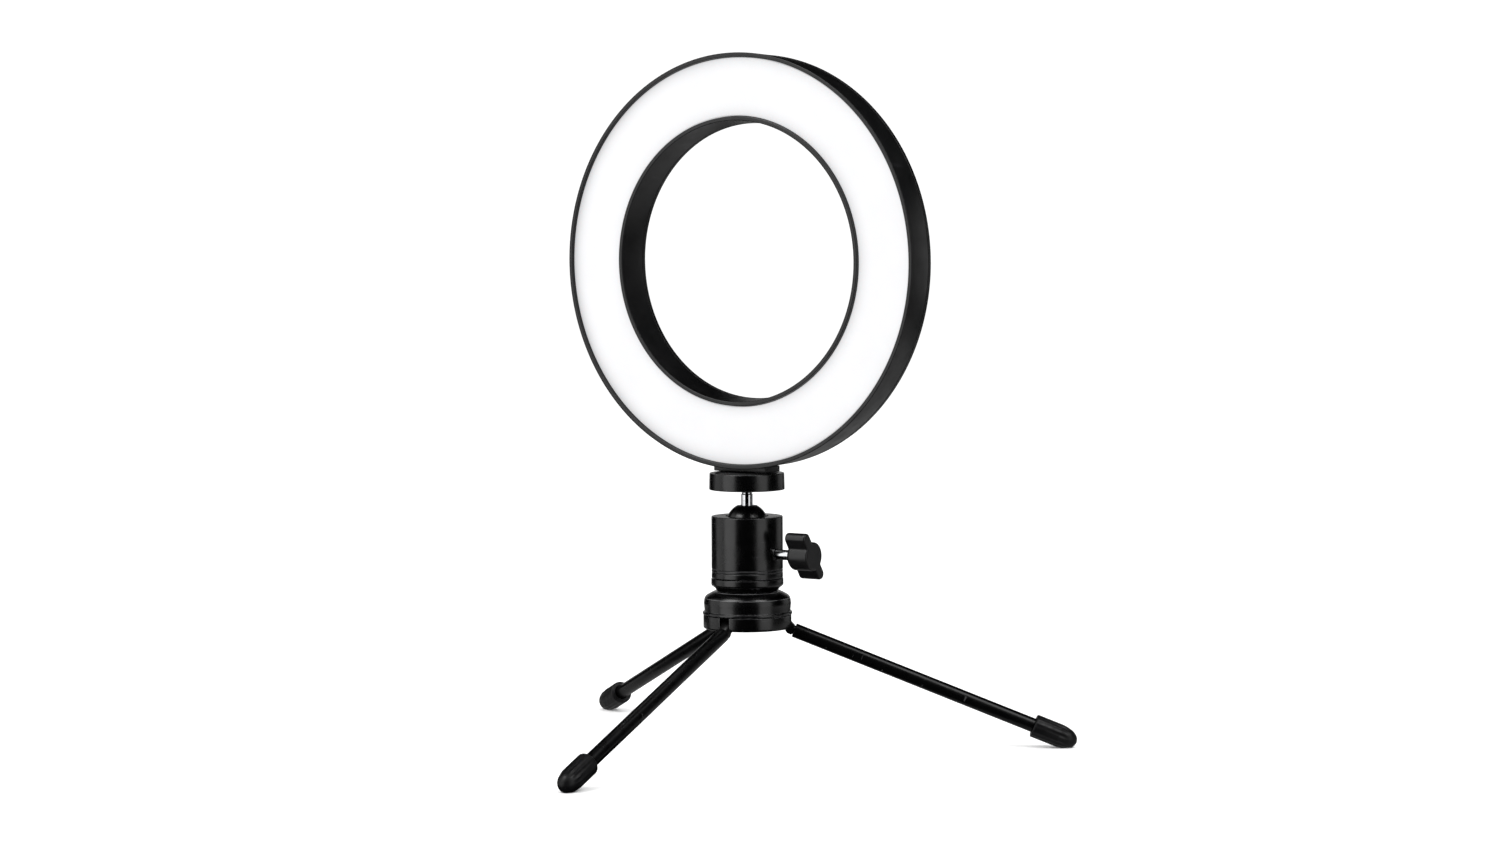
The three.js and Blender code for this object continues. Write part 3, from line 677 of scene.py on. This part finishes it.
def back_plate():
    outer, inner = RING_R - OUTER_DRAFT, OPENING_R - OPENING_DRAFT
    ease = 0.7 * MM
    profile = rounded([
        (inner, BACK, ease), (outer, BACK, ease),
        (outer, COVER_FRONT, 0.15 * MM), (inner, COVER_FRONT, 0.15 * MM),
    ], 6)
    plate = turned("back_plate", profile, black_plastic, LAMP, RING_SEGMENTS)
    holes = bmesh.new()
    head_hole, shank_hole = 2.7 * MM, 1.3 * MM
    start, step, end = BACK - MM, BACK + 1.2 * MM, COVER_FRONT + MM
    for angle in COVER_SCREW_ANGLES:
        seat = about_z(angle, SCREW_CIRCLE_R, 0)
        revolve(holes, [(0, start), (head_hole, start), (head_hole, step), (shank_hole, step),
                        (shank_hole, end), (0, end)], 32, seat)
    length, width = SOCKET_SIZE
    turn = about_z(SOCKET_ANGLE, SCREW_CIRCLE_R, 0) @ Matrix.Rotation(pi / 2, 4, "Z")
    extrude(holes, stadium(length + 2 * SEAM, width + 2 * SEAM), BACK - MM, COVER_FRONT + MM, turn)
    cut(plate, holes)
    stands_for(plate, "ring_lamp", "black_plastic", "back_cover")


def cross_headed(name, head_r, head_height, shank_r, length, place):
    """A domed screw with a cross recess, its head at +Z."""
    dome = head_height * 0.45
    recess_floor = head_height * 0.45
    screw = turned(name, rounded([
        (0, -length, 0), (shank_r, -length, 0), (shank_r, 0, 0), (head_r, 0, 0.1 * MM),
        (head_r, head_height - dome, 0.3 * MM), (head_r * 0.7, head_height, 0.4 * MM), (0, head_height, 0),
    ]), steel, place, 48)
    for turn in (0, pi / 2):
        arm = bmesh.new()
        slot = rectangle(head_r * 1.1, 0.5 * MM)
        extrude(arm, slot, recess_floor, head_height + MM, Matrix.Rotation(turn, 4, "Z"))
        cut(screw, arm)
    return screw


def cover_screws():
    for number, angle in enumerate(COVER_SCREW_ANGLES, 1):
        place = LAMP @ about_z(angle, SCREW_CIRCLE_R, BACK + 0.9 * MM) @ Matrix.Rotation(pi, 4, "X")
        place = place @ Matrix.Rotation(radians(17 * number), 4, "Z")
        screw = cross_headed(f"back_screw_{number}", 2.3 * MM, 0.8 * MM, 0.85 * MM, 3.0 * MM, place)
        stands_for(screw, "ring_lamp", "steel", f"cover_screw_{number}")


def socket_shell():
    length, width = SOCKET_SIZE
    wall = 0.45 * MM
    depth = 4.5 * MM
    place = LAMP @ about_z(SOCKET_ANGLE, SCREW_CIRCLE_R, BACK + 0.1 * MM) @ Matrix.Rotation(pi / 2, 4, "Z")
    bm = bmesh.new()
    extrude(bm, stadium(length, width), 0, depth)
    shell = make("inlet_shell", bm, steel, place)
    ease_edges(shell, 0.15 * MM, 2)
    well = bmesh.new()
    extrude(well, stadium(length - 2 * wall, width - 2 * wall), -MM, depth - wall)
    cut(shell, well)
    stands_for(shell, "ring_lamp", "steel", "power_socket")
    bm = bmesh.new()
    extrude(bm, rectangle(5.2 * MM, 0.7 * MM, 0.1 * MM), 0.8 * MM, depth - wall)
    stands_for(make("inlet_tongue", bm, black_sleeve, place), "ring_lamp", "black_plastic")


# ---------------------------------------------------------------- the ball head

HEAD = Matrix.Translation(STAND_AXIS)
AXIS_RUN = 1.6 * MM + SEAM
SCREW_LINE = Matrix.Translation((STAND_AXIS.x, STAND_AXIS.y, LOCK_Z)) @ Matrix.Rotation(pi / 2, 4, "Y")


def platform_plate():
    bottom, top = low("platform").z, high("platform").z
    outer = radius("platform")
    top_r = outer - 0.15 * MM
    recess_r = 12.3 * MM
    floor_z = top - 0.9 * MM
    stud_hole = radius("camera_stud") + SEAM
    plate = turned("platform_plate", rounded([
        (AXIS_RUN, bottom, 0), (outer, bottom, 0.4 * MM), (top_r, top, 0.4 * MM), (recess_r, top, 0.15 * MM),
        (recess_r, floor_z, 0), (stud_hole, floor_z, 0), (stud_hole, STUD_HOLE_TOP, 0),
        (AXIS_RUN, STUD_HOLE_TOP, 0),
    ]), anodised, HEAD)
    stands_for(plate, "ring_lamp", "black_anodised", "platform")


def rubber_pad():
    """The pad has fine ring-shaped ridges on its top."""
    bottom, top = low("platform_pad").z, high("platform_pad").z
    inner, outer = 3.6 * MM, radius("platform_pad")
    ridges = 8
    profile = [(inner, bottom), (outer, bottom), (outer, top - 0.15 * MM)]
    step = (outer - inner) / ridges
    for k in range(ridges):
        edge = outer - k * step
        profile += [(edge - 0.2 * step, top), (edge - 0.65 * step, top), (edge - 0.8 * step, top - 0.15 * MM)]
    profile.append((inner, top - 0.15 * MM))
    pad = turned("rubber_pad", profile, rubber, HEAD)
    stands_for(pad, "ring_lamp", "rubber", "platform_pad")


def stud_thread():
    bm = bmesh.new()
    thread(bm, radius("camera_stud"), low("camera_stud").z, high("camera_stud").z, 1.27 * MM, 0.5 * MM)
    stands_for(make("stud_thread", bm, steel, HEAD), "ring_lamp", "steel", "camera_stud")


def swivel_ball():
    r = radius("ball")
    flat_z = high("ball").z
    flat_r = (r * r - (flat_z - BALL_CENTRE_Z) ** 2) ** 0.5
    steps = 40
    end = atan2(flat_z - BALL_CENTRE_Z, flat_r)
    profile = [(0, BALL_CENTRE_Z - r)]
    for k in range(1, steps + 1):
        a = -pi / 2 + (end + pi / 2) * k / steps
        profile.append((r * cos(a), BALL_CENTRE_Z + r * sin(a)))
    hole = radius("ball_stem") + SEAM
    profile += [(hole, flat_z), (hole, BALL_HOLE_BOTTOM), (0, BALL_HOLE_BOTTOM)]
    stands_for(turned("swivel_ball", profile, anodised, HEAD, 96), "ball_body", "black_anodised", "ball")


def stem_post():
    """The post between ball and platform, with a waist and a collar under the platform."""
    bottom, top = low("ball_stem").z, high("ball_stem").z
    r = radius("ball_stem")
    shoulder = low("platform").z - SEAM
    waist = r - 0.25 * MM
    neck = AXIS_RUN - SEAM
    post = turned("stem_post", rounded([
        (0, bottom, 0), (r, bottom, 0), (r, shoulder - 1.6 * MM, 0.2 * MM),
        (waist, shoulder - 1.3 * MM, 0.1 * MM), (waist, shoulder - 0.9 * MM, 0.1 * MM),
        (r, shoulder - 0.6 * MM, 0.2 * MM), (r, shoulder, 0.1 * MM),
        (neck, shoulder, 0), (neck, top, 0.2 * MM), (0, top, 0),
    ]), chrome, HEAD, 64)
    stands_for(post, "ball_body", "chrome", "ball_stem")


def barrel_shell():
    bottom, top = low("head_barrel").z, high("head_barrel").z
    r = radius("head_barrel")
    bore = 8.6 * MM
    steps = 8
    lip_z = top - 0.4 * MM
    end = atan2(lip_z - BALL_CENTRE_Z, (bore * bore - (lip_z - BALL_CENTRE_Z) ** 2) ** 0.5)
    profile = [(bore, bottom)]
    for k in range(steps + 1):
        a = end * k / steps
        profile.append((bore * cos(a), BALL_CENTRE_Z + bore * sin(a)))
    lip_r = profile[-1][0]
    outside = [(lip_r + 0.4 * MM, top, 0.15 * MM), (r, top, 0.45 * MM)]
    for z in BARREL_GROOVES:
        outside += [(r, z + 0.25 * MM, 0.1 * MM), (r - 0.3 * MM, z, 0.1 * MM), (r, z - 0.25 * MM, 0.1 * MM)]
    outside.append((r, bottom, 0.3 * MM))
    corners = [(bore, bottom, 0), (lip_r, lip_z, 0), *outside]
    profile += rounded(corners)[2:]
    shell = turned("barrel_shell", profile, anodised, HEAD)
    hole = bmesh.new()
    sideways = Matrix.Translation((0, 0, LOCK_Z)) @ Matrix.Rotation(pi / 2, 4, "Y")
    rod(hole, SCREW_HOLE_R, 0, r + 2 * MM, 48, sideways)
    cut(shell, hole)
    stands_for(shell, "stand", "black_anodised", "head_barrel")


def base_ring():
    bottom, top = low("base_cap").z, high("base_cap").z
    r = radius("base_cap")
    flange_top = low("head_barrel").z - SEAM
    spigot = 8.3 * MM
    bolt_hole = 3.45 * MM
    cap = turned("base_ring", rounded([
        (0, top, 0), (spigot, top, 0.2 * MM), (spigot, flange_top, 0), (r, flange_top, 0.3 * MM),
        (r, bottom + 2.2 * MM, 0.5 * MM), (BASE_NECK_R, bottom + 1.2 * MM, 0.4 * MM),
        (BASE_NECK_R - 0.8 * MM, bottom, 0),
        (bolt_hole, bottom, 0), (bolt_hole, BOLT_HOLE_TOP, 0), (0, BOLT_HOLE_TOP, 0),
    ]), anodised, HEAD)
    stands_for(cap, "stand", "black_anodised", "base_cap")


def clamp_screw():
    """The screw is threaded inside the barrel and has a bright smooth collar between barrel and knob."""
    start, end = low("lock_screw").x - STAND_AXIS.x, high("lock_screw").x - STAND_AXIS.x
    collar_start = radius("head_barrel") - 1.0 * MM
    r = 2.0 * MM
    bm = bmesh.new()
    thread(bm, r, start, collar_start, 0.7 * MM, 0.3 * MM)
    revolve(bm, rounded([
        (0, collar_start, 0), (r, collar_start, 0.3 * MM), (r, end, 0.3 * MM), (0, end, 0),
    ]), 64)
    stands_for(make("clamp_screw", bm, chrome, SCREW_LINE), "lock", "chrome", "lock_screw")


def wing_knob():
    """A moulded knob: a round core with two opposite wings, all its corners full."""
    inner, outer = low("lock_knob").x - STAND_AXIS.x, high("lock_knob").x - STAND_AXIS.x
    bore_end = inner + KNOB_BORE_DEPTH
    chamfer = 1.2 * MM
    bm = bmesh.new()
    revolve(bm, rounded([
        (0, bore_end, 0), (SCREW_HOLE_R, bore_end, 0), (SCREW_HOLE_R, inner, 0),
        (KNOB_CORE_R - chamfer, inner, 0.2 * MM),
        (KNOB_CORE_R, inner + chamfer, 0.5 * MM), (KNOB_CORE_R, outer, 0.8 * MM), (0, outer, 0),
    ]), 96)
    core = make("wing_knob", bm, knob_plastic, SCREW_LINE)
    bm = bmesh.new()
    lie = Matrix.Rotation(pi / 2 - WING_ANGLE, 4, "Z")
    extrude(bm, stadium(2 * WING_REACH, WING_THICKNESS, 16), inner + 0.4 * MM, outer, lie)
    wings = make("wings", bm, knob_plastic, SCREW_LINE)
    ease_edges(wings, 0.8 * MM, 4)
    union = core.modifiers.new("with_wings", "BOOLEAN")
    union.operation = "UNION"
    union.solver = "EXACT"
    union.object = wings
    full = core.modifiers.new("skin", "REMESH")
    full.mode = "VOXEL"
    full.voxel_size = 0.16 * MM
    full.use_smooth_shade = True
    ease = core.modifiers.new("fillets", "SMOOTH")
    ease.factor = 0.5
    ease.iterations = 7
    bpy.context.view_layer.update()
    apply_modifiers(core)
    bpy.data.objects.remove(wings)
    core.data.shade_smooth()
    stands_for(core, "lock", "black_plastic", "lock_knob")


# ---------------------------------------------------------------- the tripod

ALONG_LEG = Matrix.Translation((0, 0, -LEG_AXIS_DROP)) @ Matrix.Rotation(pi / 2, 4, "Y")


def hub_top():
    bottom, top = low("hub_cap").z, high("hub_cap").z
    ridge = radius("hub_cap")
    r = ridge - 0.35 * MM
    cap = turned("hub_top", rounded([
        (HUB_BORE_R, bottom, 0), (ridge, bottom, 0.25 * MM), (ridge, bottom + 0.95 * MM, 0.25 * MM),
        (r - 0.35 * MM, bottom + 1.2 * MM, 0.1 * MM), (r, top - 3.6 * MM, 1.3 * MM),
        (r - 0.7 * MM, top - 1.7 * MM, 0.9 * MM), (r - 3.3 * MM, top - 0.3 * MM, 0.9 * MM),
        (r - 4.0 * MM, top, 0.3 * MM), (HUB_BORE_R, top, 0),
    ]), anodised, HEAD)
    stands_for(cap, "stand", "black_anodised", "hub_cap")


def leg_azimuth(number):
    pin = centre(f"leg_pin_{number}") - STAND_AXIS
    return atan2(pin.y, pin.x)


def hub_base():
    bottom, top = low("hub_body").z, high("hub_body").z
    r = radius("hub_body")
    head_hole = 5.4 * MM
    body = turned("hub_base", rounded([
        (head_hole, bottom, 0.3 * MM), (r, bottom, 0.9 * MM), (r, top, 0.2 * MM), (HUB_BORE_R, top, 0),
        (HUB_BORE_R, BOLT_STEP, 0), (head_hole, BOLT_STEP, 0),
    ]), anodised, HEAD)
    slots = bmesh.new()
    pin_z = centre("leg_pin_1").z
    groove, groove_length = 1.25 * MM, 10.6 * MM
    for number in LEG_NUMBERS:
        turn = Matrix.Rotation(leg_azimuth(number), 4, "Z")
        reach = r + 3 * MM - LEG_SLOT_INNER_R
        middle = Matrix.Translation((LEG_SLOT_INNER_R + reach / 2, 0, 0))
        extrude(slots, rectangle(reach, LEG_SLOT_WIDTH, 0.3 * MM), bottom - MM, top + MM, turn @ middle)
    cut(body, slots)
    grooves = bmesh.new()
    for number in LEG_NUMBERS:
        pin_place = Matrix.Translation(((centre(f"leg_pin_{number}") - STAND_AXIS).xy.length, 0, 0))
        turn = Matrix.Rotation(leg_azimuth(number), 4, "Z") @ pin_place
        extrude(grooves, rectangle(2 * groove, groove_length), pin_z - groove, top + MM, turn)
    cut(body, grooves)
    stands_for(body, "stand", "black_anodised", "hub_body")


def middle_bolt():
    bottom, top = low("centre_bolt").z, high("centre_bolt").z
    head_r = radius("centre_bolt")
    shank = 3.1 * MM
    body = turned("middle_bolt", rounded([
        (0, bottom, 0), (head_r, bottom, 0.5 * MM), (head_r, BOLT_HEAD_TOP, 0), (shank, BOLT_HEAD_TOP, 0),
        (shank, top, 0.3 * MM), (0, top, 0),
    ]), steel, HEAD, 64)
    socket = bmesh.new()
    socket_r, socket_depth = 2.5 * MM, 1.6 * MM
    rod(socket, socket_r, bottom - MM, bottom + socket_depth, segments=6)
    cut(body, socket)
    stands_for(body, "stand", "steel", "centre_bolt")


def hinge_pin(number):
    place = Matrix.Translation(centre(f"leg_pin_{number}")) @ Matrix.Rotation(leg_azimuth(number), 4, "Z")
    r, half = 1.0 * MM, 5.0 * MM
    profile = rounded([(0, -half, 0), (r, -half, 0.3 * MM), (r, half, 0.3 * MM), (0, half, 0)])
    pin = turned(f"hinge_pin_{number}", profile, steel, place @ Matrix.Rotation(pi / 2, 4, "X"), 32)
    stands_for(pin, "stand", "steel", f"leg_pin_{number}")


def leg_blade(number, place):
    """The flat tang that turns on the pin, with the spigot that fills the tube."""
    heel = 2.2 * MM
    bottom = -LEG_AXIS_DROP - 2.0 * MM
    end = TUBE_START - SEAM
    steps = 12
    turns = [pi / 2 + pi * k / steps for k in range(steps + 1)]
    outline = [Vector((heel * cos(a), heel * sin(a))) for a in turns]
    outline += [Vector((2.8 * MM, -heel)), Vector((4.2 * MM, bottom)), Vector((end, bottom)),
                Vector((end, 0.6 * MM)), Vector((2.6 * MM, heel))]
    half = 1.8 * MM
    bm = bmesh.new()
    extrude(bm, outline, -half, half, Matrix.Rotation(pi / 2, 4, "X"))
    blade = make(f"leg_blade_{number}", bm, enamel, place)
    ease_edges(blade, 0.3 * MM, 3)
    hole = bmesh.new()
    pin_hole = 1.15 * MM
    rod(hole, pin_hole, -3 * MM, 3 * MM, 32, Matrix.Rotation(pi / 2, 4, "X"))
    cut(blade, hole)
    stands_for(blade, f"leg_{number}", "black_enamel", f"leg_tang_{number}")
    plug_r = TUBE_BORE - SEAM
    plug_start, plug_end = end - 0.5 * MM, TUBE_START + 9 * MM
    plug = turned(f"leg_plug_{number}", rounded([
        (0, plug_start, 0), (plug_r, plug_start, 0), (plug_r, plug_end, 0.3 * MM), (0, plug_end, 0),
    ]), enamel, place @ ALONG_LEG, 48)
    stands_for(plug, f"leg_{number}", "black_enamel")


def leg_pipe(number, place):
    pipe = turned(f"leg_pipe_{number}", rounded([
        (TUBE_BORE, TUBE_START, 0.15 * MM), (TUBE_R, TUBE_START, 0.35 * MM),
        (TUBE_R, TUBE_END, 0.15 * MM), (TUBE_BORE, TUBE_END, 0),
    ]), enamel, place @ ALONG_LEG, 64)
    stands_for(pipe, f"leg_{number}", "black_enamel", f"leg_tube_{number}")


def rubber_foot(number, place):
    """A cap with lengthwise ribs and a blunt round tip, worn flat where it meets the table."""
    ribs = 16
    segments = ribs * 8
    groove = 0.32 * MM
    bore = 3.05 * MM
    start, tip = FOOT_START, FOOT_TIP
    spine = rounded([
        (bore, start, 0), (FOOT_R, start, 0.6 * MM), (FOOT_R, tip - 6.5 * MM, 1.5 * MM),
        (FOOT_R - 0.9 * MM, tip - 2.6 * MM, 1.4 * MM), (FOOT_R - 2.6 * MM, tip - 0.5 * MM, 1.2 * MM),
        (0, tip, 0), (0, TUBE_END + SEAM, 0), (bore, TUBE_END + SEAM, 0),
    ], 6)
    bm = bmesh.new()
    revolve(bm, spine, segments)
    for v in bm.verts:
        r = v.co.xy.length
        if r < bore + 0.4 * MM:
            continue
        from_start = max(0, (v.co.z - start - 0.9 * MM) / (1.2 * MM))
        from_tip = max(0, (tip - 3.6 * MM - v.co.z) / (2.5 * MM))
        along = min(1, from_start, from_tip)
        wave = (0.5 - 0.5 * cos(ribs * atan2(v.co.y, v.co.x))) ** 0.6
        v.co.xy *= 1 - groove * along * wave / r
    whole = place @ ALONG_LEG
    bm.transform(whole)
    for v in bm.verts:
        v.co.z = max(v.co.z, 0)
    cap = make(f"rubber_foot_{number}", bm, rubber)
    stands_for(cap, f"leg_{number}", "rubber", f"leg_foot_{number}")


def legs():
    for number in LEG_NUMBERS:
        hinge_pin(number)
        turn = Matrix.Rotation(leg_azimuth(number), 4, "Z") @ Matrix.Rotation(LEG_SLOPE, 4, "Y")
        place = Matrix.Translation(centre(f"leg_pin_{number}")) @ turn
        leg_blade(number, place)
        leg_pipe(number, place)
        rubber_foot(number, place)


# ---------------------------------------------------------------- the CAD pieces that stay


def dress(node, material):
    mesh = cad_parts[node].data
    mesh.materials.clear()
    mesh.materials.append(material)


def kept_pieces():
    dress("led_board", board_white)
    dress("threaded_insert", brass)
    dress("pressure_pad", brass)
    dress("ball_seat", nylon)
    dress("supply_lead_red", red_sleeve)
    dress("supply_lead_black", black_sleeve)
    for number in range(1, BOARD_SCREWS + 1):
        dress(f"board_screw_{number}", steel)


# ---------------------------------------------------------------- the whole

camera()
studio()
reflector()
floor()
housing()
diffuser_ring()
back_plate()
cover_screws()
socket_shell()
platform_plate()
rubber_pad()
stud_thread()
swivel_ball()
stem_post()
barrel_shell()
base_ring()
clamp_screw()
wing_knob()
hub_top()
hub_base()
middle_bolt()
legs()
kept_pieces()

bpy.context.view_layer.update()
